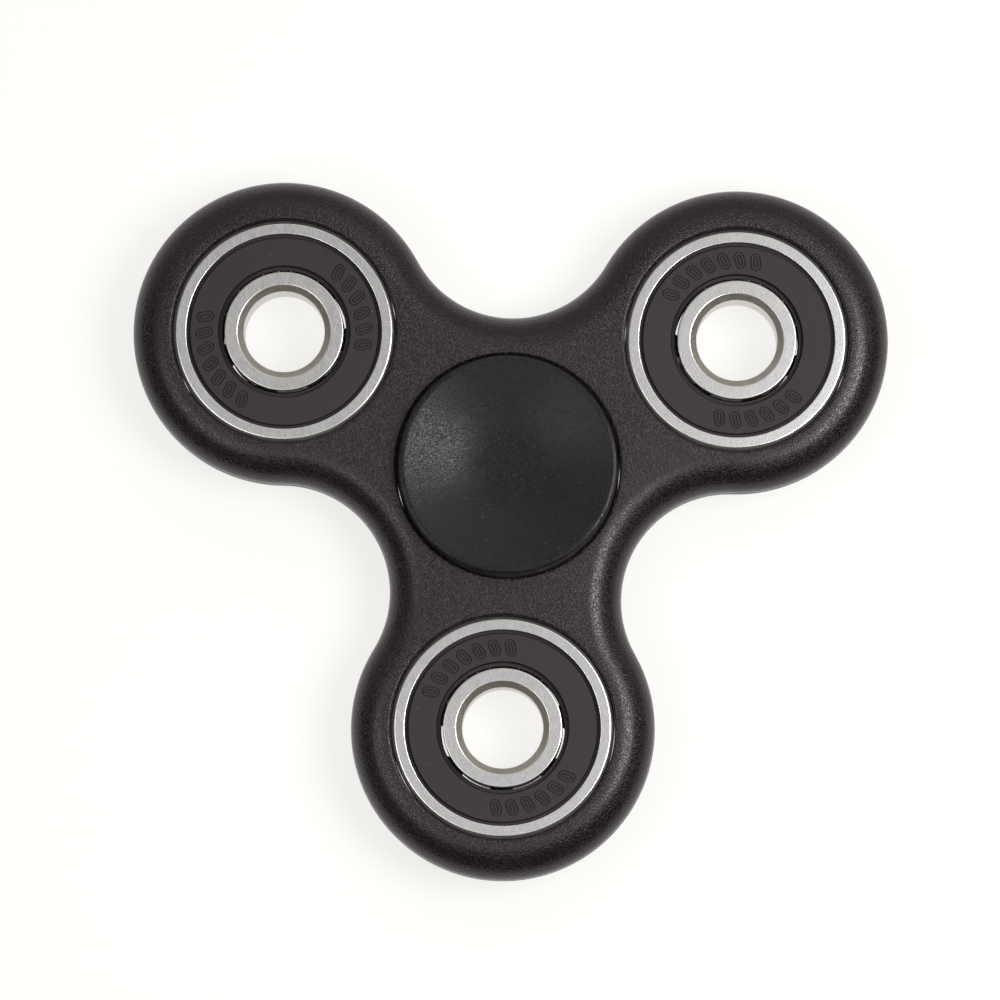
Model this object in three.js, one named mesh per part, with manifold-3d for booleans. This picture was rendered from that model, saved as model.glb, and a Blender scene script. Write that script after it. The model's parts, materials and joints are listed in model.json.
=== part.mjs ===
// A three-lobed fidget spinner: a moulded body with a ball bearing pressed into each lobe and
// one in the middle, and two finger caps that plug into the middle bearing.
// Millimetres, +Z up. The origin lies on the spin axis, halfway through the thickness.
// The caps and the middle bearing's inner ring stay still between finger and thumb,
// and everything else turns round them.

import * as THREE from 'three';
import { mergeVertices } from 'three/addons/utils/BufferGeometryUtils.js';
import Module from 'manifold-3d';

const wasm = await Module();
wasm.setup();

// ---- Driving dimensions, in millimetres and degrees ----

// Layout
const LOBES = { right: 30, left: 150, front: 270 }; // direction of each lobe from the spin axis
const LOBE_DISTANCE = 25.8; // spin axis to a lobe's bearing axis

// Body
const LOBE_RADIUS = 15;
const WAIST_DISTANCE = 14.85; // spin axis to the nearest point of a waist
const BODY_THICKNESS = 8;
const EDGE_INSET = 3.4; // how far the rounded edge reaches in from the outline
const SIDE_HEIGHT = 2; // upright band half-way up, between the rounded edges
const POCKET_GAP = 0.05;
const POCKET_CHAMFER = 0.3;

// Bearing, a standard 22 x 8 x 7 deep-groove size
const BEARING_OUTER = 11;
const BEARING_BORE = 4;
const BEARING_HALF_WIDTH = 3.5;
const OUTER_CHAMFER = 0.32;
const BORE_CHAMFER = 0.55;
const OUTER_FACE_INNER = 9.7; // inner edge of the outer ring's flat face
const INNER_FACE_OUTER = 5.9; // outer edge of the inner ring's flat face
const OUTER_SHOULDER = 9.1;
const SEAL_GROOVE_RADIUS = 9.95;
const SEAL_GROOVE_TOP = 3.05;
const SEAL_GROOVE_BOTTOM = 2.6;

// Balls and cage
const BALL_COUNT = 7;
const BALL_RADIUS = 1.9845;
const PITCH_RADIUS = 7.5;
const RACE_RADIUS = 2.15; // the grooves' section, a little over the ball's so the facets stay clear
const CAGE_INNER = 6.75;
const CAGE_OUTER = 8.25;
const CAGE_BOTTOM = -2.55;
const CAGE_TOP = 1;
const CAGE_POCKET_RADIUS = 2.15;

// Seals
const SEAL_LIP = 6.15;
const SEAL_RIM = 9.85;
const SEAL_UNDERSIDE = 2.75;
const SEAL_EDGE_TOP = 3;
const SEAL_TOP = 3.25;
const SEAL_FLAT_INNER = 6.55;
const SEAL_FLAT_OUTER = 9.25;

// Finger caps, measured from the spinner's mid-plane
const CAP_RADIUS = 10.7;
const CAP_RIM_TOP = 6;
const CAP_EDGE_ROUND = 0.3;
const CAP_RIM_INNER = 10; // where the flat rim ends and the dish begins
const CAP_DISH_BOTTOM = 4.8;
const CAP_FLAT_RADIUS = 3; // level middle of the dish
const CAP_CONE_START = 5.5; // from here out to the rim the dish is a cone
const CAP_UNDERSIDE = 3.95;
const CAP_BOSS_RADIUS = 5.7;
const CAP_BOSS_FOOT = 3.55;
const CAP_STUB_RADIUS = 3.95;
const CAP_STUB_TIP = 0.6;
const CAP_STUB_LEAD_IN = 0.3;
const CAP_STUB_HOLE_RADIUS = 2.6;
const CAP_STUB_HOLE_TOP = 3.9;

// How finely round things are divided
const ROUND_SEGMENTS = 24;
const LOBE_STEPS = 24;
const WAIST_STEPS = 8;
const EDGE_STEPS = 4;
const RACE_STEPS = 2;
const POCKET_SIDES = 10;

// ---- Finishes ----

const BODY_FINISH = { color: 0x232022, roughness: 0.62, metalness: 0 };
const CAP_FINISH = { color: 0x262325, roughness: 0.58, metalness: 0 };
const STEEL_FINISH = { color: 0xc2c0bb, roughness: 0.32, metalness: 1 };
const BALL_FINISH = { color: 0xdedede, roughness: 0.08, metalness: 1 };
const CAGE_FINISH = { color: 0xd9d2bd, roughness: 0.55, metalness: 0 };
const SEAL_FINISH = { color: 0x2e2b29, roughness: 0.7, metalness: 0 };

// ---- Helpers ----

const radians = THREE.MathUtils.degToRad;

// Keeps only the positions, joins coincident corners and drops triangles that have no area.
function closed(geometry) {
  geometry.deleteAttribute('normal');
  geometry.deleteAttribute('uv');
  const joined = mergeVertices(geometry);
  const corners = joined.index.array;
  const kept = [];
  for (let i = 0; i < corners.length; i += 3) {
    const [a, b, c] = corners.slice(i, i + 3);
    if (a !== b && b !== c && c !== a) kept.push(a, b, c);
  }
  joined.setIndex(kept);
  return joined;
}

function toSolid(geometry) {
  const surface = closed(geometry);
  return new wasm.Manifold(new wasm.Mesh({
    numProp: 3,
    vertProperties: surface.attributes.position.array,
    triVerts: new Uint32Array(surface.index.array),
  }));
}

function toGeometry(solid) {
  const mesh = solid.getMesh();
  const geometry = new THREE.BufferGeometry();
  geometry.setAttribute('position', new THREE.BufferAttribute(mesh.vertProperties, mesh.numProp));
  geometry.setIndex(new THREE.BufferAttribute(mesh.triVerts, 1));
  return geometry;
}

// Turns a profile of [radius, height] corners, listed anticlockwise, round the Z axis.
// The profile starts and ends on the axis.
function revolve(profile) {
  const corners = profile.map(([radius, height]) => new THREE.Vector2(radius, height));
  return closed(new THREE.LatheGeometry(corners, ROUND_SEGMENTS).rotateX(Math.PI / 2));
}

// The same for a profile that closes on itself away from the axis.
function revolveRing(profile) {
  return revolve([...profile, profile[0]]);
}

// Completes a profile that is the same above and below the mid-plane.
function mirrored(upperHalf) {
  const lowerHalf = upperHalf.filter(([, height]) => height > 0).reverse();
  return [...upperHalf, ...lowerHalf.map(([radius, height]) => [radius, -height])];
}

function arcPoints(centre, radius, from, to, steps) {
  const points = [];
  for (let i = 0; i <= steps; i += 1) {
    const angle = from + ((to - from) * i) / steps;
    points.push(new THREE.Vector2(Math.cos(angle), Math.sin(angle)).multiplyScalar(radius).add(centre));
  }
  return points;
}

function polar(distance, angle) {
  return new THREE.Vector2(distance * Math.cos(angle), distance * Math.sin(angle));
}

function part(name, geometry, finish) {
  const mesh = new THREE.Mesh(geometry, new THREE.MeshStandardMaterial(finish));
  mesh.name = name;
  return mesh;
}

// ---- Body ----

// Each waist arc touches both neighbouring lobe circles, which fixes its radius.
function waistRadius() {
  const reach = LOBE_DISTANCE ** 2 + WAIST_DISTANCE ** 2 - LOBE_DISTANCE * WAIST_DISTANCE;
  return (reach - LOBE_RADIUS ** 2) / (2 * LOBE_RADIUS - 2 * WAIST_DISTANCE + LOBE_DISTANCE);
}

function bodyOutline() {
  const hollow = waistRadius();
  const waistCentre = polar(WAIST_DISTANCE + hollow, radians(60));
  const lobeSweep = waistCentre.clone().sub(polar(LOBE_DISTANCE, 0)).angle();
  const waistSweep = lobeSweep - radians(60);
  const points = [];
  for (const direction of Object.values(LOBES).map(radians)) {
    const lobe = polar(LOBE_DISTANCE, direction);
    points.push(...arcPoints(lobe, LOBE_RADIUS, direction - lobeSweep, direction + lobeSweep, LOBE_STEPS));
    const across = direction + radians(60);
    const waist = polar(WAIST_DISTANCE + hollow, across);
    const middle = across + Math.PI;
    const arc = arcPoints(waist, hollow, middle + waistSweep, middle - waistSweep, WAIST_STEPS);
    points.push(...arc.slice(1, -1));
  }
  return points;
}

// A chamfered through hole for one bearing.
function pocketCutter() {
  const radius = BEARING_OUTER + POCKET_GAP;
  const face = BODY_THICKNESS / 2;
  const beyond = face + 1;
  const mouth = radius + POCKET_CHAMFER + 1;
  return revolve([
    [0, -beyond],
    [mouth, -beyond],
    [radius, -face + POCKET_CHAMFER],
    [radius, face - POCKET_CHAMFER],
    [mouth, beyond],
    [0, beyond],
  ]);
}

function bodyGeometry() {
  const edgeHeight = (BODY_THICKNESS - SIDE_HEIGHT) / 2;
  const slab = new THREE.ExtrudeGeometry(new THREE.Shape(bodyOutline()), {
    depth: SIDE_HEIGHT,
    bevelEnabled: true,
    bevelThickness: edgeHeight,
    bevelSize: EDGE_INSET,
    bevelOffset: -EDGE_INSET,
    bevelSegments: EDGE_STEPS,
  });
  slab.translate(0, 0, -SIDE_HEIGHT / 2);
  let body = toSolid(slab).subtract(toSolid(pocketCutter()));
  for (const direction of Object.values(LOBES).map(radians)) {
    const cutter = pocketCutter().translate(LOBE_DISTANCE, 0, 0).rotateZ(direction);
    body = body.subtract(toSolid(cutter));
  }
  return toGeometry(body);
}

// ---- Bearing ----

// Upper half of a ball groove's section, towards the axis (-1) or away from it (1),
// from the groove's bottom at the mid-plane up to the shoulder.
function raceProfile(side, shoulder) {
  const halfAngle = Math.acos(Math.abs(shoulder - PITCH_RADIUS) / RACE_RADIUS);
  const profile = [];
  for (let i = 0; i <= RACE_STEPS; i += 1) {
    const angle = (halfAngle * i) / RACE_STEPS;
    profile.push([PITCH_RADIUS + side * RACE_RADIUS * Math.cos(angle), RACE_RADIUS * Math.sin(angle)]);
  }
  return profile;
}

function outerRingGeometry() {
  return revolveRing(mirrored([
    [BEARING_OUTER, BEARING_HALF_WIDTH - OUTER_CHAMFER],
    [BEARING_OUTER - OUTER_CHAMFER, BEARING_HALF_WIDTH],
    [OUTER_FACE_INNER, BEARING_HALF_WIDTH],
    [SEAL_GROOVE_RADIUS, SEAL_GROOVE_TOP],
    [SEAL_GROOVE_RADIUS, SEAL_GROOVE_BOTTOM],
    [OUTER_SHOULDER, SEAL_GROOVE_BOTTOM],
    ...raceProfile(1, OUTER_SHOULDER).reverse(),
  ]));
}

function innerRingGeometry() {
  return revolveRing(mirrored([
    ...raceProfile(-1, INNER_FACE_OUTER),
    [INNER_FACE_OUTER, BEARING_HALF_WIDTH],
    [BEARING_BORE + BORE_CHAMFER, BEARING_HALF_WIDTH],
    [BEARING_BORE, BEARING_HALF_WIDTH - BORE_CHAMFER],
  ]));
}

// A crown cage: a ring along one side, with fingers that reach up between the balls.
function cageGeometry() {
  let cage = toSolid(revolveRing([
    [CAGE_INNER, CAGE_BOTTOM],
    [CAGE_OUTER, CAGE_BOTTOM],
    [CAGE_OUTER, CAGE_TOP],
    [CAGE_INNER, CAGE_TOP],
  ]));
  const depth = 2 * (CAGE_OUTER - CAGE_INNER);
  for (let i = 0; i < BALL_COUNT; i += 1) {
    const pocket = new THREE.CylinderGeometry(CAGE_POCKET_RADIUS, CAGE_POCKET_RADIUS, depth, POCKET_SIDES);
    pocket.rotateZ(Math.PI / 2).translate(PITCH_RADIUS, 0, 0).rotateZ(ballAngle(i));
    cage = cage.subtract(toSolid(pocket));
  }
  return toGeometry(cage);
}

// A flat annulus with a stepped-down edge on both sides; its rim snaps into the outer ring.
function sealGeometry() {
  return revolveRing([
    [SEAL_LIP, SEAL_UNDERSIDE],
    [SEAL_RIM, SEAL_UNDERSIDE],
    [SEAL_RIM, SEAL_EDGE_TOP],
    [SEAL_FLAT_OUTER, SEAL_TOP],
    [SEAL_FLAT_INNER, SEAL_TOP],
    [SEAL_LIP, SEAL_EDGE_TOP],
  ]);
}

function ballAngle(index) {
  return (2 * Math.PI * index) / BALL_COUNT;
}

function ball(name, index) {
  const mesh = part(name, closed(new THREE.IcosahedronGeometry(BALL_RADIUS, 1)), BALL_FINISH);
  const place = polar(PITCH_RADIUS, ballAngle(index));
  mesh.position.set(place.x, place.y, 0);
  return mesh;
}

function bearing(prefix) {
  const group = new THREE.Group();
  group.add(part(`${prefix}_outer_ring`, outerRingGeometry(), STEEL_FINISH));
  group.add(part(`${prefix}_inner_ring`, innerRingGeometry(), STEEL_FINISH));
  group.add(part(`${prefix}_cage`, cageGeometry(), CAGE_FINISH));
  group.add(part(`${prefix}_top_seal`, sealGeometry(), SEAL_FINISH));
  const bottomSeal = part(`${prefix}_bottom_seal`, sealGeometry(), SEAL_FINISH);
  bottomSeal.rotation.x = Math.PI;
  group.add(bottomSeal);
  for (let i = 0; i < BALL_COUNT; i += 1) {
    group.add(ball(`${prefix}_ball_${i + 1}`, i));
  }
  return group;
}

// ---- Finger caps ----

// Height of the dished top at a given radius: a level middle curves up into a cone that meets
// the flat rim.
function dishHeight(radius) {
  const curveWidth = CAP_CONE_START - CAP_FLAT_RADIUS;
  const slope = (CAP_RIM_TOP - CAP_DISH_BOTTOM) / (CAP_RIM_INNER - CAP_FLAT_RADIUS - curveWidth / 2);
  const alongCurve = Math.min(Math.max(radius - CAP_FLAT_RADIUS, 0), curveWidth);
  const alongCone = Math.max(radius - CAP_CONE_START, 0);
  return CAP_DISH_BOTTOM + slope * (alongCurve ** 2 / (2 * curveWidth) + alongCone);
}

function capGeometry() {
  const middle = (CAP_FLAT_RADIUS + CAP_CONE_START) / 2;
  const dish = [CAP_RIM_INNER, CAP_CONE_START, middle, CAP_FLAT_RADIUS, 0]
    .map((radius) => [radius, dishHeight(radius)]);
  const bevel = CAP_EDGE_ROUND * (1 - Math.SQRT1_2);
  return revolve([
    [0, CAP_STUB_HOLE_TOP],
    [CAP_STUB_HOLE_RADIUS, CAP_STUB_HOLE_TOP],
    [CAP_STUB_HOLE_RADIUS, CAP_STUB_TIP],
    [CAP_STUB_RADIUS - CAP_STUB_LEAD_IN, CAP_STUB_TIP],
    [CAP_STUB_RADIUS, CAP_STUB_TIP + CAP_STUB_LEAD_IN],
    [CAP_STUB_RADIUS, CAP_BOSS_FOOT],
    [CAP_BOSS_RADIUS, CAP_BOSS_FOOT],
    [CAP_BOSS_RADIUS, CAP_UNDERSIDE],
    [CAP_RADIUS, CAP_UNDERSIDE],
    [CAP_RADIUS, CAP_RIM_TOP - CAP_EDGE_ROUND],
    [CAP_RADIUS - bevel, CAP_RIM_TOP - bevel],
    [CAP_RADIUS - CAP_EDGE_ROUND, CAP_RIM_TOP],
    ...dish,
  ]);
}

// ---- Assembly ----

function fidgetSpinner() {
  const spinner = new THREE.Group();
  spinner.add(part('body', bodyGeometry(), BODY_FINISH));
  spinner.add(part('top_cap', capGeometry(), CAP_FINISH));
  const bottomCap = part('bottom_cap', capGeometry(), CAP_FINISH);
  bottomCap.rotation.x = Math.PI;
  spinner.add(bottomCap);
  spinner.add(bearing('centre'));
  for (const [name, direction] of Object.entries(LOBES)) {
    const arm = new THREE.Group();
    arm.rotation.z = radians(direction);
    const lobeBearing = bearing(name);
    lobeBearing.position.x = LOBE_DISTANCE;
    arm.add(lobeBearing);
    spinner.add(arm);
  }
  return spinner;
}

export default fidgetSpinner();
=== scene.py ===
"""Looks of a three-lobed fidget spinner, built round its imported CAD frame.

Shapes are written in millimetres and scaled to metres when they become meshes. Every piece lies
where its CAD node lies and stands for that node.
"""
import json
import math

import bmesh
import bpy
from mathutils import Matrix, Vector
from mathutils.geometry import delaunay_2d_cdt


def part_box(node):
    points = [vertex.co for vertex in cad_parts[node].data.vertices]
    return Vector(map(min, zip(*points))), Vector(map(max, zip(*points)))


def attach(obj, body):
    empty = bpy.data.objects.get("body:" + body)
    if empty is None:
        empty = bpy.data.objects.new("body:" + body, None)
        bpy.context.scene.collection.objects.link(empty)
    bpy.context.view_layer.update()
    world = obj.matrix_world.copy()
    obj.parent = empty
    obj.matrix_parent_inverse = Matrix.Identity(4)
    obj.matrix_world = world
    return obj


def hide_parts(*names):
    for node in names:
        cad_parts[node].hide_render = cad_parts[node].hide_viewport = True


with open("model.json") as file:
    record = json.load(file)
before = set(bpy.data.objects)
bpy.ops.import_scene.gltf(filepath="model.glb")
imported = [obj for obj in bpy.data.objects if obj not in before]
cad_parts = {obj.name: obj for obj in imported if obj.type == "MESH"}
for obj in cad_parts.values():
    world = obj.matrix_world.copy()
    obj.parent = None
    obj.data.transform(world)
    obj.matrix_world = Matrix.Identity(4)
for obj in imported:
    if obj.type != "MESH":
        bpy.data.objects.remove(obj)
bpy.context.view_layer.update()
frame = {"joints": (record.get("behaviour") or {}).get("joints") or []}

MM = 0.001
TAU = 2 * math.pi


# ---- Dimensions, in millimetres, taken from the frame where it holds them ----

def node_radius(node):
    low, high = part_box(node)
    return (high.y - low.y) / 2 / MM


def node_top(node):
    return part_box(node)[1].z / MM


def joint_place(name):
    joint = next(j for j in frame["joints"] if j["name"] == name)
    return Vector(joint["pos_m"]) / MM


LOBES = {name: joint_place(f"{name}_inner_ring_spin") for name in ("right", "left", "front")}
PLACES = {"centre": Vector((0, 0, 0)), **LOBES}
LOBE_DISTANCE = LOBES["front"].length
LOBE_RADIUS = -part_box("body")[0].y / MM - LOBE_DISTANCE
WAIST_DISTANCE = 14.85  # spin axis to the nearest point of a waist
BODY_FACE = node_top("body")
EDGE_INSET = 3.4  # how far the rounded edge reaches in from the outline
SIDE_HEIGHT = 2.0  # upright band half-way up, between the rounded edges
PARTING_RIDGE = 0.03  # how far the mould's parting line stands out from that band
RIDGE_ROOT = 0.06  # half the parting line's height where it starts
RIDGE_TIP = 0.02  # and at its tip

RING_OUTER = node_radius("centre_outer_ring")
RING_FACE = node_top("centre_outer_ring")
RING_BORE = 4.0
BORE_CHAMFER = 0.6
RING_CHAMFER = 0.34
INNER_FACE_OUTER = node_radius("centre_inner_ring")
OUTER_FACE_INNER = 9.62
OUTER_SHOULDER = 9.1
SEAL_GROOVE_RADIUS = 9.95
SEAL_GROOVE_TOP = 3.05
SEAL_GROOVE_BOTTOM = 2.6
POCKET_RADIUS = RING_OUTER + 0.05
POCKET_ROUNDING = 0.28
POCKET_MOUTH = POCKET_RADIUS + 0.37

PITCH_RADIUS = 7.5
BALL_RADIUS = 1.9845
RACE_RADIUS = 2.06
BALL_COUNT = 7
CAGE_INNER = 6.75
CAGE_OUTER = 8.25
CAGE_BOTTOM = -2.55
CAGE_TOP = 1.0
CAGE_POCKET_RADIUS = 2.08

SEAL_LIP = 6.1
SEAL_LIP_OUTER = 6.6
SEAL_LIP_TOP = 2.4
SEAL_FOOT = 2.25
SEAL_UNDERSIDE = 2.63
SEAL_RIM = 9.85
SEAL_RIM_TOP = 2.75
SEAL_TOP = 3.25
SEAL_TOP_INNER = 6.52
SEAL_TOP_OUTER = 9.28
MARK_RADIUS = 7.9
MARK_LENGTH = 1.62
MARK_WIDTH = 0.92
MARK_STROKE = 0.3
MARK_DEPTH = 0.16
MARK_LEAN = math.radians(18)
MARK_STEP = 11.5  # degrees from one mark to the next
MARK_ROWS = ((0, 7), (175, 6))  # the middle of each row, in degrees, and how many marks it has

CAP_RADIUS = node_radius("top_cap")
CAP_RIM_TOP = node_top("top_cap")
CAP_UNDERSIDE = 3.95
CAP_BOSS_RADIUS = 5.7
CAP_BOSS_FOOT = 3.55
STUB_RADIUS = 3.95
STUB_TIP = 0.6
STUB_LEAD_IN = 0.3
STUB_HOLE_RADIUS = 2.6
STUB_HOLE_TOP = 3.9
CAP_EDGE_DROP = 0.07
CAP_EDGE_WIDTH = 0.25
RIM_INNER = 10.2
DISH_OUTER = RIM_INNER - 0.1
DISH_BOTTOM = 4.8
DISH_FLAT_RADIUS = 0.4
DISH_CONE_START = 6.2

FLOOR = -CAP_RIM_TOP

SEGMENTS = 180  # round anything turned on the lathe
SHARP_ANGLE = math.radians(38)  # an edge that turns by more than this stays sharp
MERGE_DISTANCE = 1e-5


# ---- Mesh helpers ----

def rounded(corners, closed, steps=4):
    """A fine profile from (radius, height, cut) corners. Each corner with a cut is rounded off from
    that distance before it to that distance after it, with a supporting point just outside."""
    support = 1.3
    points = []
    count = len(corners)
    for i, (radius, height, cut) in enumerate(corners):
        corner = Vector((radius, height))
        if cut == 0 or (not closed and i in (0, count - 1)):
            points.append(corner)
            continue
        before = Vector(corners[i - 1][:2])
        after = Vector(corners[(i + 1) % count][:2])
        back = (before - corner).normalized() * cut
        onward = (after - corner).normalized() * cut
        points.append(corner + back * support)
        for k in range(steps + 1):
            t = k / steps
            points.append(corner + back * (1 - t) ** 2 + onward * t ** 2)
        points.append(corner + onward * support)
    return points


def mirrored(upper):
    """Completes a profile of corners that is the same above and below the mid-plane."""
    return upper + [(r, -z, cut) for r, z, cut in reversed(upper) if z > 0]


def loft(bm, rings):
    """Joins rings of equally many vertices, each closed on itself, by bands of quads."""
    for upper, lower in zip(rings, rings[1:]):
        count = len(upper)
        for k in range(count):
            n = (k + 1) % count
            bm.faces.new((upper[k], lower[k], lower[n], upper[n]))


def polar(distance, turn):
    """The level vector that is so long and points so far round."""
    return Vector((distance * math.cos(turn), distance * math.sin(turn), 0))


def arc(centre, radius, start, end, steps):
    """Points along an arc, without its last one."""
    return [centre + polar(radius, start + (end - start) * i / steps) for i in range(steps)]


def circle(bm, centre, radius, height, segments=SEGMENTS):
    """A level ring of vertices."""
    ring = []
    for k in range(segments):
        turn = TAU * k / segments
        ring.append(bm.verts.new((
            centre.x + radius * math.cos(turn), centre.y + radius * math.sin(turn), height)))
    return ring


def finished_mesh(bm, name):
    """Merges, orients and scales a millimetre bmesh into a smooth-shaded mesh in metres."""
    bmesh.ops.remove_doubles(bm, verts=bm.verts, dist=MERGE_DISTANCE)
    bmesh.ops.recalc_face_normals(bm, faces=bm.faces)
    bmesh.ops.scale(bm, vec=(MM, MM, MM), verts=bm.verts)
    for face in bm.faces:
        face.smooth = True
    mesh = bpy.data.meshes.new(name)
    bm.to_mesh(mesh)
    bm.free()
    mesh.set_sharp_from_angle(angle=SHARP_ANGLE)
    return mesh


def lathe(name, profile, closed, segments=SEGMENTS):
    """Turns a profile round the Z axis. It closes on itself, or starts and ends on the axis."""
    bm = bmesh.new()
    origin = Vector((0, 0, 0))
    rings = [circle(bm, origin, point.x, point.y, segments) for point in profile]
    if closed:
        rings.append(rings[0])
    loft(bm, rings)
    return finished_mesh(bm, name)


def cut_mesh(mesh, cutters):
    """What is left of a closed mesh when other closed meshes are cut out of it."""
    scene = bpy.context.scene.collection
    target = bpy.data.objects.new("boolean_target", mesh)
    scene.objects.link(target)
    tool = bpy.data.objects.new("boolean_tool", cutters)
    scene.objects.link(tool)
    modifier = target.modifiers.new("cut", "BOOLEAN")
    modifier.operation = "DIFFERENCE"
    modifier.solver = "EXACT"
    modifier.object = tool
    bpy.context.view_layer.update()
    evaluated = target.evaluated_get(bpy.context.evaluated_depsgraph_get())
    result = bpy.data.meshes.new_from_object(evaluated)
    bpy.data.objects.remove(target)
    bpy.data.objects.remove(tool)
    result.shade_smooth()
    result.set_sharp_from_angle(angle=SHARP_ANGLE)
    return result


def piece(name, mesh, body, materials, place=None, turn=0.0, upside_down=False):
    """Puts a copy of a mesh where its CAD node lies, as the piece that stands for that node."""
    own = mesh.copy()
    own.name = name + "_mesh"
    matrix = Matrix.Rotation(turn, 4, "Z")
    if upside_down:
        matrix = Matrix.Rotation(math.pi, 4, "X") @ matrix
    matrix = Matrix.Translation((place or Vector((0, 0, 0))) * MM) @ matrix
    own.transform(matrix)
    made = bpy.data.objects.new(name + "_look", own)
    bpy.context.scene.collection.objects.link(made)
    own.materials.clear()
    for material in materials:
        own.materials.append(material)
    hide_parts(name)
    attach(made, body)
    return made


# ---- Material helpers ----

class Shader:
    """A material whose nodes are added one by one. Sockets are given as values or as links."""

    def __init__(self, name):
        self.material = bpy.data.materials.new(name)
        self.material.use_nodes = True
        self.tree = self.material.node_tree
        self.surface = self.tree.nodes["Principled BSDF"]
        self.place = self.add("ShaderNodeTexCoord").outputs["Object"]

    def add(self, kind, inputs=None, **settings):
        node = self.tree.nodes.new(kind)
        for key, value in settings.items():
            setattr(node, key, value)
        for key, value in (inputs or {}).items():
            self.connect(node.inputs[key], value)
        return node

    def connect(self, socket, value):
        if isinstance(value, bpy.types.NodeSocket):
            self.tree.links.new(value, socket)
        else:
            socket.default_value = value

    def set(self, **inputs):
        for key, value in inputs.items():
            self.connect(self.surface.inputs[key.replace("_", " ")], value)

    def millimetres(self, scale=(1, 1, 1), turn=0.0):
        """Object coordinates in millimetres, turned about Z and then stretched."""
        turned = self.add("ShaderNodeMapping", {
            "Vector": self.place, "Rotation": (0, 0, turn), "Scale": (1 / MM,) * 3})
        stretched = self.add("ShaderNodeVectorMath", {0: turned.outputs[0], 1: scale},
                             operation="MULTIPLY")
        return stretched.outputs[0]

    def noise(self, vector, scale, detail=2.0, roughness=0.5):
        node = self.add("ShaderNodeTexNoise", {
            "Vector": vector, "Scale": scale, "Detail": detail, "Roughness": roughness})
        return node.outputs["Fac"]

    def cells(self, vector, scale):
        return self.add("ShaderNodeTexVoronoi", {"Vector": vector, "Scale": scale}).outputs["Distance"]

    def remap(self, value, low, high, to_low, to_high, **settings):
        inputs = {"Value": value, "From Min": low, "From Max": high, "To Min": to_low, "To Max": to_high}
        return self.add("ShaderNodeMapRange", inputs, **settings).outputs["Result"]

    def maths(self, operation, a, b):
        return self.add("ShaderNodeMath", {0: a, 1: b}, operation=operation).outputs[0]

    def mix(self, factor, a, b):
        node = self.add("ShaderNodeMix", {"Factor": factor, "A": a, "B": b}, data_type="RGBA")
        return node.outputs["Result"]

    def bump(self, height, distance_mm, strength=1.0):
        inputs = {"Height": height, "Distance": distance_mm * MM, "Strength": strength}
        return self.add("ShaderNodeBump", inputs).outputs["Normal"]


def colour(red, green, blue):
    return (red, green, blue, 1.0)


# ---- Materials ----

def moulded_plastic(name, dark, light, tint, grain_mm, grain_depth_mm, roughness, specular, painted_dark_middle_radii=None):
    """Black plastic from a spark-eroded mould: low smooth islands with pits between them, a few
    pale dots painted in as glints and an uneven gloss. When asked, it is painted darker towards the
    axis, a painted shade for the dark reflection of what lies straight overhead, fully within the
    first radius and not at all beyond the second."""
    shader = Shader(name)
    place = shader.millimetres()
    field = shader.noise(place, 1 / grain_mm, detail=2.0, roughness=0.55)
    islands = shader.remap(field, 0.41, 0.57, 0.0, 1.0, interpolation_type="SMOOTHSTEP")
    fine = shader.noise(place, 3 / grain_mm, detail=1.0)
    drift = shader.noise(place, 0.12, detail=2.0)
    # Painted glints: sparse pale dots in the colour stand in for the glints of steep grain facets.
    painted_glints = shader.remap(shader.cells(place, 1.3), 0.075, 0.04, 0.0, 1.0)
    tone = shader.mix(drift, dark, light)
    # Painted shade: the colour darkens towards the axis, standing in for the dark reflection of what is
    # straight overhead.
    if painted_dark_middle_radii:
        flat = shader.millimetres(scale=(1, 1, 0))
        distance = shader.add("ShaderNodeVectorMath", {0: flat}, operation="LENGTH").outputs["Value"]
        painted_dark_middle = shader.remap(distance, *painted_dark_middle_radii, 0.42, 0.0, interpolation_type="SMOOTHSTEP")
        tone = shader.mix(painted_dark_middle, tone, colour(0.003, 0.003, 0.0035))
    # The pale painted glint dots are laid over the tone.
    glint_painted_tone = shader.mix(painted_glints, tone, colour(0.13, 0.122, 0.124))
    height = shader.maths("ADD", islands, shader.maths("MULTIPLY", fine, 0.25))
    gloss = shader.maths("ADD", shader.remap(field, 0.35, 0.65, roughness + 0.05, roughness - 0.05),
                         shader.remap(drift, 0.3, 0.7, -0.02, 0.02))
    shader.set(Base_Color=glint_painted_tone, Roughness=gloss, Normal=shader.bump(height, grain_depth_mm))
    shader.set(Specular_IOR_Level=specular, Specular_Tint=tint)
    return shader.material


def ground_steel(name, turn):
    """A bearing ring's flat face: two crossing sets of fine grinding strokes on bright steel."""
    shader = Shader(name)
    lean = math.radians(24)
    layers = []
    for stroke_turn in (turn - lean, turn + lean):
        along = shader.millimetres(scale=(11.0, 0.9, 1.0), turn=stroke_turn)
        layers.append(shader.noise(along, 1.0, detail=3.0, roughness=0.65))
    strokes = shader.maths("MAXIMUM", *layers)
    patches = shader.noise(shader.millimetres(), 0.9, detail=2.0)
    bright = shader.remap(strokes, 0.45, 0.70, 0.0, 1.0)
    tone = shader.mix(bright, colour(0.58, 0.578, 0.57), colour(0.98, 0.977, 0.965))
    worn = shader.mix(shader.remap(patches, 0.45, 0.75, 0.0, 0.35), tone, colour(0.58, 0.577, 0.566))
    gloss = shader.remap(strokes, 0.35, 0.75, 0.25, 0.16)
    shader.set(Base_Color=worn, Metallic=0.8, Roughness=gloss,
               Normal=shader.bump(strokes, 0.003, 0.8))
    return shader.material


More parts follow.
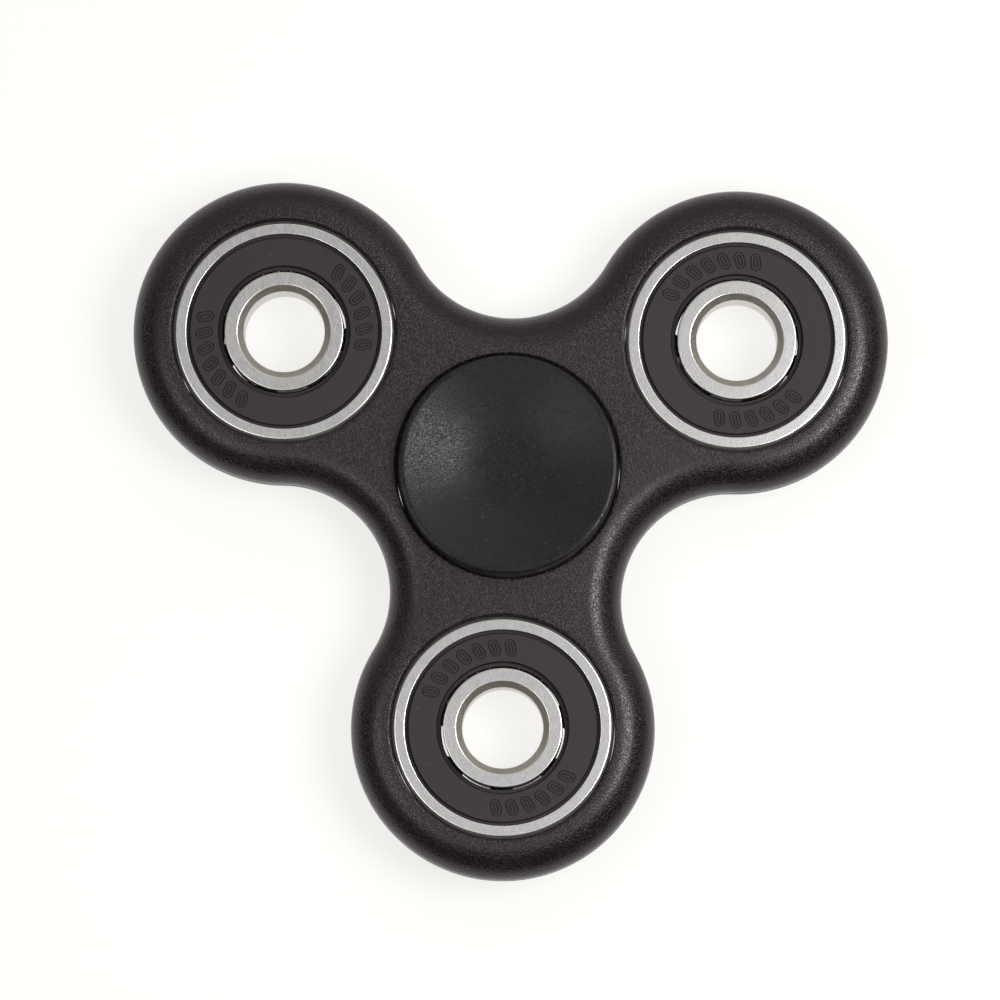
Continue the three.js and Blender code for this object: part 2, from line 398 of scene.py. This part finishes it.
def lathed_steel(name, dark, light, cloud_scale, gloss_range, line_depth_mm):
    """Cloudy steel with faint lines round the axis, as the lathe's tool leaves them."""
    shader = Shader(name)
    lines = shader.noise(shader.millimetres(scale=(0.6, 0.6, 14.0)), 1.0, detail=2.0)
    cloud = shader.noise(shader.millimetres(), cloud_scale, detail=3.0)
    shader.set(Base_Color=shader.mix(cloud, dark, light), Metallic=1.0,
               Roughness=shader.remap(lines, 0.3, 0.7, *gloss_range),
               Normal=shader.bump(lines, line_depth_mm, 0.5))
    return shader.material


def turned_steel(name):
    """Bores, grooves and rounded corners, the smoothest of the turned faces."""
    return lathed_steel(name, colour(0.50, 0.49, 0.455), colour(0.60, 0.59, 0.55), 0.5, (0.24, 0.36), 0.002)


def unground_steel(name):
    """The outer rings' edge chamfers, which are turned but never ground, so they stay dull."""
    return lathed_steel(name, colour(0.58, 0.57, 0.54), colour(0.70, 0.69, 0.66), 0.7, (0.44, 0.56), 0.003)


def bore_steel(name):
    """The chamfers at the mouths of the bores: finely turned, satin, a little yellow."""
    return lathed_steel(name, colour(0.52, 0.50, 0.44), colour(0.68, 0.66, 0.60), 0.9, (0.42, 0.54), 0.004)


def gap_shade_steel(name):
    """The middle bearing's edge chamfer, painted dark as painted shade for the shadow in the gap round the
    cap.
    """
    shader = Shader(name)
    cloud = shader.noise(shader.millimetres(), 1.1, detail=3.0)
    # Painted shade: the dark colour stands in for the shadow in the gap under the cap's rim.
    tone = shader.mix(cloud, colour(0.045, 0.042, 0.038), colour(0.11, 0.10, 0.09))
    shader.set(Base_Color=tone, Metallic=0.6, Roughness=shader.remap(cloud, 0.3, 0.7, 0.5, 0.66),
               Normal=shader.bump(cloud, 0.01, 0.5))
    return shader.material


def polished_steel(name):
    """The balls: hard chrome steel, polished, with a breath of grease film."""
    shader = Shader(name)
    film = shader.noise(shader.millimetres(), 0.8, detail=3.0)
    tone = shader.mix(film, colour(0.74, 0.74, 0.75), colour(0.82, 0.82, 0.82))
    shader.set(Base_Color=tone, Metallic=1.0, Roughness=shader.remap(film, 0.3, 0.7, 0.04, 0.10))
    return shader.material


def seal_rubber(name):
    """Black-grey moulded rubber with a fine dull grain and a little dust."""
    shader = Shader(name)
    place = shader.millimetres()
    grain = shader.noise(place, 9.0, detail=3.0, roughness=0.6)
    cloud = shader.noise(place, 0.35, detail=2.0)
    dust = shader.remap(shader.cells(place, 0.55), 0.03, 0.012, 0.0, 1.0)
    tone = shader.mix(cloud, colour(0.0172, 0.0147, 0.0152), colour(0.0213, 0.0183, 0.019))
    dusty = shader.mix(dust, tone, colour(0.28, 0.27, 0.26))
    shader.set(Base_Color=dusty, Roughness=shader.remap(grain, 0.3, 0.7, 0.56, 0.70),
               Normal=shader.bump(grain, 0.006, 0.6))
    shader.set(Specular_IOR_Level=0.5, Specular_Tint=colour(1.0, 0.90, 0.92))
    return shader.material


def cage_nylon(name):
    """Pale yellowish nylon with a fine grain, which lets a little light in."""
    shader = Shader(name)
    place = shader.millimetres()
    cloud = shader.noise(place, 0.7, detail=3.0)
    grain = shader.noise(place, 6.0, detail=2.0)
    tone = shader.mix(cloud, colour(0.66, 0.60, 0.46), colour(0.76, 0.71, 0.58))
    shader.set(Base_Color=tone, Roughness=shader.remap(grain, 0.3, 0.7, 0.42, 0.55),
               Normal=shader.bump(grain, 0.008, 0.5))
    shader.set(Subsurface_Weight=0.15, Subsurface_Radius=(0.001, 0.0008, 0.0005))
    return shader.material


def light_table(name):
    """The white surface under the object, lit faintly from below, so that shadows on it stay pale."""
    shader = Shader(name)
    cloud = shader.noise(shader.millimetres(), 0.02, detail=3.0)
    tone = shader.mix(cloud, colour(0.265, 0.262, 0.257), colour(0.275, 0.272, 0.267))
    shader.set(Base_Color=tone, Roughness=0.9, Specular_IOR_Level=0.0)
    shader.set(Emission_Color=colour(1.0, 0.985, 0.965), Emission_Strength=0.785)
    return shader.material


# ---- Body ----

def waist_radius():
    """Each waist arc touches both neighbouring lobe circles, which fixes its radius."""
    reach = LOBE_DISTANCE ** 2 + WAIST_DISTANCE ** 2 - LOBE_DISTANCE * WAIST_DISTANCE
    return (reach - LOBE_RADIUS ** 2) / (2 * LOBE_RADIUS - 2 * WAIST_DISTANCE + LOBE_DISTANCE)


def body_outline(inset, lobe_steps=110, waist_steps=44):
    """The body's outline moved inwards by a distance, in the same number of points each time."""
    hollow = waist_radius()
    to_waist = polar(WAIST_DISTANCE + hollow, math.pi / 3) - polar(LOBE_DISTANCE, 0)
    lobe_sweep = math.atan2(to_waist.y, to_waist.x)
    waist_sweep = lobe_sweep - math.pi / 3
    points = []
    for lobe in LOBES.values():
        direction = math.atan2(lobe.y, lobe.x)
        points += arc(lobe, LOBE_RADIUS - inset, direction - lobe_sweep, direction + lobe_sweep, lobe_steps)
        across = direction + math.pi / 3
        waist = polar(WAIST_DISTANCE + hollow, across)
        inwards = across + math.pi
        points += arc(waist, hollow + inset, inwards + waist_sweep, inwards - waist_sweep, waist_steps)
    return points


def edge_profile(steps=18):
    """Inset and height down the rounded edge, from the top face to the parting line."""
    rise = BODY_FACE - SIDE_HEIGHT / 2
    profile = []
    for i in range(steps + 1):
        turn = math.pi / 2 * i / steps
        inset = EDGE_INSET * (1 - math.sin(turn)) + PARTING_RIDGE * math.sin(turn)
        profile.append((inset, SIDE_HEIGHT / 2 + rise * math.cos(turn)))
    return profile + [(PARTING_RIDGE, RIDGE_ROOT), (0.0, RIDGE_TIP)]


def pocket_profile():
    """The wall of a bearing's pocket, rounded at both mouths."""
    return rounded(mirrored([
        (POCKET_MOUTH, BODY_FACE, 0),
        (POCKET_RADIUS, BODY_FACE, POCKET_ROUNDING),
    ]), closed=False, steps=8)


def fill_face(bm, outline_ring, pocket_rings):
    """Fills one flat face of the body between its edge and the pockets."""
    loops = [outline_ring] + pocket_rings
    corners = [vert for loop in loops for vert in loop]
    edges = []
    start = 0
    for loop in loops:
        count = len(loop)
        edges += [(start + k, start + (k + 1) % count) for k in range(count)]
        start += count
    flat = [Vector((vert.co.x, vert.co.y)) for vert in corners]
    inside_edges_only = 1
    tolerance = 1e-7
    _, _, triangles, sources, _, _ = delaunay_2d_cdt(flat, edges, [], inside_edges_only, tolerance)
    for triangle in triangles:
        chosen = [corners[sources[k][0]] for k in triangle]
        middle = sum((vert.co for vert in chosen), Vector()) / 3
        in_pocket = any((middle.xy - place.xy).length < POCKET_MOUTH for place in PLACES.values())
        if not in_pocket:
            bm.faces.new(chosen)


def body_mesh():
    """The three-lobed plate, made of its edge, the four pockets and the two flat faces."""
    bm = bmesh.new()
    upper = edge_profile()
    profile = upper + [(inset, -height) for inset, height in reversed(upper)]
    edge = []
    for inset, height in profile:
        edge.append([bm.verts.new((p.x, p.y, height)) for p in body_outline(inset)])
    loft(bm, edge)
    pockets = []
    for place in PLACES.values():
        rings = [circle(bm, place, point.x, point.y) for point in pocket_profile()]
        loft(bm, rings)
        pockets.append(rings)
    fill_face(bm, edge[0], [rings[0] for rings in pockets])
    fill_face(bm, edge[-1], [rings[-1] for rings in pockets])
    return finished_mesh(bm, "body_look")


# ---- Finger caps ----

def dish_height(radius):
    """A level middle curves smoothly up into a cone that meets the narrow rim."""
    curve = DISH_CONE_START - DISH_FLAT_RADIUS
    slope = (CAP_RIM_TOP - DISH_BOTTOM) / (RIM_INNER - DISH_FLAT_RADIUS - curve / 2)
    t = min(max(radius - DISH_FLAT_RADIUS, 0.0) / curve, 1.0)
    rise = curve * (t ** 3 - t ** 4 / 2)
    return DISH_BOTTOM + slope * (rise + max(radius - DISH_CONE_START, 0.0))


def cap_mesh(steps=40):
    """A cap's disc, the boss that stands on the inner ring, and the hollow stub in its bore."""
    dish = []
    for i in range(steps, -1, -1):
        radius = DISH_OUTER * i / steps
        dish.append(Vector((radius, dish_height(radius))))
    shell = rounded([
        (0.0, STUB_HOLE_TOP, 0),
        (STUB_HOLE_RADIUS, STUB_HOLE_TOP, 0.2),
        (STUB_HOLE_RADIUS, STUB_TIP, 0.1),
        (STUB_RADIUS - STUB_LEAD_IN, STUB_TIP, 0.1),
        (STUB_RADIUS, STUB_TIP + STUB_LEAD_IN, 0.1),
        (STUB_RADIUS, CAP_BOSS_FOOT, 0),
        (CAP_BOSS_RADIUS, CAP_BOSS_FOOT, 0.1),
        (CAP_BOSS_RADIUS, CAP_UNDERSIDE, 0.1),
        (CAP_RADIUS, CAP_UNDERSIDE, 0.12),
        (CAP_RADIUS, CAP_RIM_TOP - CAP_EDGE_DROP, 0.05),
        (CAP_RADIUS - CAP_EDGE_WIDTH, CAP_RIM_TOP, 0.05),
        (RIM_INNER, CAP_RIM_TOP, 0.08),
        (dish[0].x, dish[0].y, 0),
    ], closed=False, steps=6)
    return lathe("cap_look", shell + dish[1:], closed=False)


# ---- Bearings ----

SEAL_TURNS = {"centre": 60, "right": 112, "left": 205, "front": 120}  # degrees
GRINDING_TURNS = {"centre": 0, "right": 8, "left": -20, "front": 0}  # degrees
TURNED, GROUND, EDGE, BORED = range(4)  # the materials of a ring, in this order


def race(side, shoulder, steps=14):
    """Upper half of a ball groove, from the mid-plane up to the shoulder."""
    half_angle = math.acos(abs(shoulder - PITCH_RADIUS) / RACE_RADIUS)
    corners = []
    for i in range(steps + 1):
        turn = half_angle * i / steps
        corners.append((
            PITCH_RADIUS + side * RACE_RADIUS * math.cos(turn), RACE_RADIUS * math.sin(turn), 0))
    return corners


def outer_ring_mesh():
    """The ring with a groove for the balls inside, and one for the seal at each end."""
    upper = [
        (RING_OUTER, RING_FACE - RING_CHAMFER, 0.17),
        (RING_OUTER - RING_CHAMFER, RING_FACE, 0.1),
        (OUTER_FACE_INNER, RING_FACE, 0.1),
        (SEAL_GROOVE_RADIUS, SEAL_GROOVE_TOP, 0.05),
        (SEAL_GROOVE_RADIUS, SEAL_GROOVE_BOTTOM, 0.05),
        (OUTER_SHOULDER, SEAL_GROOVE_BOTTOM, 0.08),
    ] + race(1, OUTER_SHOULDER)[::-1]
    return lathe("outer_ring_look", rounded(mirrored(upper), closed=True), closed=True)


def inner_ring_mesh():
    """The ring with the bore, and a groove for the balls outside."""
    upper = race(-1, INNER_FACE_OUTER) + [
        (INNER_FACE_OUTER, RING_FACE, 0.14),
        (RING_BORE + BORE_CHAMFER, RING_FACE, 0.08),
        (RING_BORE, RING_FACE - BORE_CHAMFER, 0.04),
    ]
    return lathe("inner_ring_look", rounded(mirrored(upper), closed=True), closed=True)


def cage_mesh():
    """A ring with a round pocket through it for each ball."""
    ring = lathe("cage_look", rounded([
        (CAGE_INNER, CAGE_BOTTOM, 0.1),
        (CAGE_OUTER, CAGE_BOTTOM, 0.1),
        (CAGE_OUTER, CAGE_TOP, 0.1),
        (CAGE_INNER, CAGE_TOP, 0.1),
    ], closed=True), closed=True)
    bm = bmesh.new()
    radius = CAGE_POCKET_RADIUS * MM
    length = 2 * (CAGE_OUTER - CAGE_INNER) * MM
    for i in range(BALL_COUNT):
        turn = TAU * i / BALL_COUNT
        matrix = (Matrix.Rotation(turn, 4, "Z") @ Matrix.Translation((PITCH_RADIUS * MM, 0, 0))
                  @ Matrix.Rotation(math.pi / 2, 4, "Y"))
        bmesh.ops.create_cone(bm, cap_ends=True, segments=48, radius1=radius, radius2=radius,
                              depth=length, matrix=matrix)
    pockets = bpy.data.meshes.new("cage_pockets")
    bm.to_mesh(pockets)
    bm.free()
    return cut_mesh(ring, pockets)


def ball_mesh(steps=36):
    """A ball, turned from a half circle."""
    profile = []
    for i in range(steps + 1):
        turn = -math.pi / 2 + math.pi * i / steps
        profile.append(Vector((max(0.0, BALL_RADIUS * math.cos(turn)), BALL_RADIUS * math.sin(turn))))
    return lathe("ball_look", profile, closed=False, segments=64)


def capsule_outline(length, width, steps=10):
    """A slim upright capsule's outline, round its own middle."""
    half = length / 2 - width / 2
    upper = arc(Vector((0, half, 0)), width / 2, 0, math.pi, steps)
    lower = arc(Vector((0, -half, 0)), width / 2, math.pi, TAU, steps)
    return upper + [Vector((-width / 2, half, 0))] + lower + [Vector((width / 2, -half, 0))]


def mark_groove(bm, turn, inset):
    """The cutter for a narrow groove that runs round a capsule shape, leaning a little."""
    half_mouth = 0.075
    half_floor = 0.03
    above = 0.05
    sections = [
        (-half_mouth, above),
        (-half_floor, -MARK_DEPTH),
        (half_floor, -MARK_DEPTH),
        (half_mouth, above),
    ]
    matrix = (Matrix.Rotation(turn, 4, "Z") @ Matrix.Translation((MARK_RADIUS, 0, SEAL_TOP))
              @ Matrix.Rotation(MARK_LEAN - math.pi / 2, 4, "Z"))
    rings = []
    for offset, height in sections:
        shrink = 2 * (inset + offset)
        outline = capsule_outline(MARK_LENGTH - shrink, MARK_WIDTH - shrink)
        rings.append([bm.verts.new(matrix @ (p + Vector((0, 0, height)))) for p in outline])
    rings.append(rings[0])
    loft(bm, rings)


def seal_mesh():
    """A moulded rubber seal with two rows of plain marks, each a capsule-shaped stroke between two
    grooves."""
    seal = lathe("seal_look", rounded([
        (SEAL_LIP, SEAL_FOOT, 0.03),
        (SEAL_LIP_OUTER, SEAL_FOOT, 0.03),
        (SEAL_LIP_OUTER, SEAL_UNDERSIDE, 0.03),
        (SEAL_RIM, SEAL_UNDERSIDE, 0.04),
        (SEAL_RIM, SEAL_RIM_TOP, 0.03),
        (SEAL_TOP_OUTER + 0.05, SEAL_RIM_TOP, 0.04),
        (SEAL_TOP_OUTER, SEAL_TOP, 0.07),
        (SEAL_TOP_INNER, SEAL_TOP, 0.07),
        (SEAL_TOP_INNER - 0.07, SEAL_LIP_TOP, 0.04),
        (SEAL_LIP, SEAL_LIP_TOP, 0.03),
    ], closed=True), closed=True)
    bm = bmesh.new()
    for middle, count in MARK_ROWS:
        for i in range(count):
            turn = math.radians(middle + MARK_STEP * (i - (count - 1) / 2))
            mark_groove(bm, turn, 0.0)
            mark_groove(bm, turn, MARK_STROKE)
    grooves = finished_mesh(bm, "seal_grooves")
    return cut_mesh(seal, grooves)


def assign_faces(made, place, inner_edge, outer_edge):
    """Gives the ring's level ends the ground steel, the chamfers outside the outer edge the edge
    steel, and those inside the inner edge the bore's. The rest stays turned steel."""
    margin = 0.3
    for polygon in made.data.polygons:
        from_end = RING_FACE - abs(polygon.center.z) / MM
        radius = (polygon.center.xy / MM - place.xy).length
        if abs(polygon.normal.z) > 0.99 and from_end < 0.02:
            polygon.material_index = GROUND
        elif from_end < RING_CHAMFER + margin and radius > outer_edge:
            polygon.material_index = EDGE
        elif from_end < BORE_CHAMFER + margin and radius < inner_edge:
            polygon.material_index = BORED
        else:
            polygon.material_index = TURNED


def make_bearing(name, meshes, steel, rubber, nylon, chrome):
    """All the pieces of one bearing. Steel is a list of the ring materials."""
    place = PLACES[name]
    middle = name == "centre"
    inner_body = "finger_hub" if middle else f"{name}_inner_race"
    outer = piece(f"{name}_outer_ring", meshes["outer"], "spinner", steel, place)
    inner = piece(f"{name}_inner_ring", meshes["inner"], inner_body, steel, place)
    assign_faces(outer, place, 0, RING_OUTER - RING_CHAMFER + 0.05)
    assign_faces(inner, place, RING_BORE + BORE_CHAMFER, RING_OUTER)
    direction = 0.0 if middle else math.atan2(place.y, place.x)
    piece(f"{name}_cage", meshes["cage"], f"{name}_ball_cage", [nylon], place, direction)
    for i in range(BALL_COUNT):
        turn = direction + TAU * i / BALL_COUNT
        piece(f"{name}_ball_{i + 1}", meshes["ball"], f"{name}_rolling_ball_{i + 1}",
              [chrome], place + polar(PITCH_RADIUS, turn))
    turn = math.radians(SEAL_TURNS[name])
    piece(f"{name}_top_seal", meshes["seal"], "spinner", [rubber], place, turn)
    piece(f"{name}_bottom_seal", meshes["seal"], "spinner", [rubber], place, turn,
          upside_down=True)


def make_object():
    """The materials, and every piece of the spinner."""
    body_abs = moulded_plastic(
        "body_abs",
        dark=colour(0.0072, 0.0053, 0.0061),
        light=colour(0.0092, 0.0068, 0.0078),
        tint=colour(1.0, 0.88, 0.93),
        grain_mm=0.20,
        grain_depth_mm=0.017,
        roughness=0.25,
        specular=0.46,
    )
    cap_abs = moulded_plastic(
        "cap_abs",
        dark=colour(0.0100, 0.0094, 0.0102),
        light=colour(0.0126, 0.0117, 0.0127),
        tint=colour(1.0, 0.95, 0.99),
        grain_mm=0.17,
        grain_depth_mm=0.017,
        roughness=0.175,
        specular=0.24,
        # painted shade in the dish's middle, from 0.5 mm out to 6.5 mm
        painted_dark_middle_radii=(0.5, 6.5),
    )
    piece("body", body_mesh(), "spinner", [body_abs])
    cap = cap_mesh()
    piece("top_cap", cap, "finger_hub", [cap_abs])
    piece("bottom_cap", cap, "finger_hub", [cap_abs], upside_down=True)
    meshes = {
        "outer": outer_ring_mesh(),
        "inner": inner_ring_mesh(),
        "cage": cage_mesh(),
        "ball": ball_mesh(),
        "seal": seal_mesh(),
    }
    turned = turned_steel("turned_steel")
    unground = unground_steel("unground_steel")
    gap_shade = gap_shade_steel("gap_shade_steel")
    bored = bore_steel("bore_steel")
    rubber = seal_rubber("seal_rubber")
    nylon = cage_nylon("cage_nylon")
    chrome = polished_steel("ball_steel")
    for name in PLACES:
        ground = ground_steel(f"ground_steel_{name}", math.radians(GRINDING_TURNS[name]))
        # The middle bearing's chamfer gets the steel with painted shade.
        edge = gap_shade if name == "centre" else unground
        steel = [turned, ground, edge, bored]
        make_bearing(name, meshes, steel, rubber, nylon, chrome)


# ---- Floor, light and camera ----

# Each patch of the world has a middle direction, and two edges: how near to that direction,
# as a cosine, it begins and is complete.
ROOM = 0.03
CEILING = 0.68
CEILING_CENTRE = Vector((-0.14, 0.17, 0.97))
CEILING_EDGE = (0.72, 0.91)
DARK_CENTRE = Vector((-0.08, 0.15, 0.98))
DARK_EDGE = (0.955, 0.99)
DARK_SHARE = 0.45
CORNER_CENTRE = Vector((-0.45, 0.45, 0.75))
CORNER_EDGE = (0.86, 0.98)
CORNER_SHARE = 0.15
BACK_WALL = 0.5
BACK_WALL_EDGE = (0.1, 0.6)

CAMERA_PLACE = Vector((6.5, -62, 833))
CAMERA_TARGET = Vector((-0.7, -3.4, 3.8))
CAMERA_ROLL = math.radians(1.14)
CAMERA_LENS = 304


def make_floor():
    """The wide level surface that the spinner's lower cap lies on."""
    bm = bmesh.new()
    bmesh.ops.create_grid(bm, x_segments=8, y_segments=8, size=2.0)
    mesh = bpy.data.meshes.new("floor")
    bm.to_mesh(mesh)
    bm.free()
    floor = bpy.data.objects.new("floor", mesh)
    floor.location.z = FLOOR * MM
    bpy.context.scene.collection.objects.link(floor)
    mesh.materials.append(light_table("floor_white"))


def aim(made, place, target, up=Vector((0, 1, 0))):
    """Puts an object at a place, looking at a target, in metres."""
    back = (place - target).normalized()
    side = up.cross(back).normalized()
    rotation = Matrix((side, back.cross(side), back)).transposed()
    made.matrix_world = Matrix.Translation(place) @ rotation.to_4x4()


def panel(name, place, size, power):
    """A round soft light at a place in millimetres, turned towards the object."""
    light = bpy.data.lights.new(name, "AREA")
    light.shape = "DISK"
    light.size = size * MM
    light.energy = power
    made = bpy.data.objects.new(name, light)
    bpy.context.scene.collection.objects.link(made)
    aim(made, Vector(place) * MM, Vector((0, 0, 0)))


def make_world():
    """A dim room with a pale wall behind the object and a pale ceiling, which is darker above the
    camera and in one corner."""
    world = bpy.data.worlds.new("studio")
    world.use_nodes = True
    tree = world.node_tree

    def node(kind, *inputs, **settings):
        made = tree.nodes.new(kind)
        for key, value in settings.items():
            setattr(made, key, value)
        for socket, value in zip(made.inputs, inputs):
            if isinstance(value, bpy.types.NodeSocket):
                tree.links.new(value, socket)
            else:
                socket.default_value = value
        return made

    direction = node("ShaderNodeTexCoord").outputs["Generated"]
    across = node("ShaderNodeSeparateXYZ", direction).outputs["Y"]

    def ramp(value, edges, low, high):
        made = node("ShaderNodeMapRange", value, *edges, low, high, interpolation_type="SMOOTHSTEP")
        return made.outputs["Result"]

    def nearness(centre):
        made = node("ShaderNodeVectorMath", direction, centre.normalized(), operation="DOT_PRODUCT")
        return made.outputs["Value"]

    def maths(operation, a, b):
        return node("ShaderNodeMath", a, b, operation=operation).outputs["Value"]

    ceiling = ramp(nearness(CEILING_CENTRE), CEILING_EDGE, 0.0, CEILING)
    gap = ramp(nearness(DARK_CENTRE), DARK_EDGE, 1.0, DARK_SHARE)
    corner = ramp(nearness(CORNER_CENTRE), CORNER_EDGE, 1.0, CORNER_SHARE)
    wall = ramp(across, BACK_WALL_EDGE, ROOM, BACK_WALL)
    overhead = maths("MULTIPLY", maths("MULTIPLY", ceiling, gap), corner)
    strength = maths("ADD", overhead, wall)
    background = tree.nodes["Background"]
    background.inputs["Color"].default_value = (1.0, 0.97, 0.965, 1)
    tree.links.new(strength, background.inputs["Strength"])
    bpy.context.scene.world = world


def make_lights():
    """The room, a soft key light on the right and a weak fill on the left."""
    make_world()
    panel("key_right", (145, -8, 300), 160, 0.66)
    panel("fill_left", (-115, -62, 270), 150, 0.13)
    bpy.context.scene.view_settings.view_transform = "Standard"


def make_camera():
    """Far above the spinner with a long lens, a little in front of it and a little rolled."""
    camera = bpy.data.cameras.new("camera")
    camera.lens = CAMERA_LENS
    camera.sensor_width = 36
    camera.clip_start = 0.05
    camera.clip_end = 10
    made = bpy.data.objects.new("camera", camera)
    bpy.context.scene.collection.objects.link(made)
    up = Vector((-math.sin(CAMERA_ROLL), math.cos(CAMERA_ROLL), 0))
    aim(made, CAMERA_PLACE * MM, CAMERA_TARGET * MM, up)
    bpy.context.scene.camera = made


make_camera()
make_lights()
make_floor()
make_object()
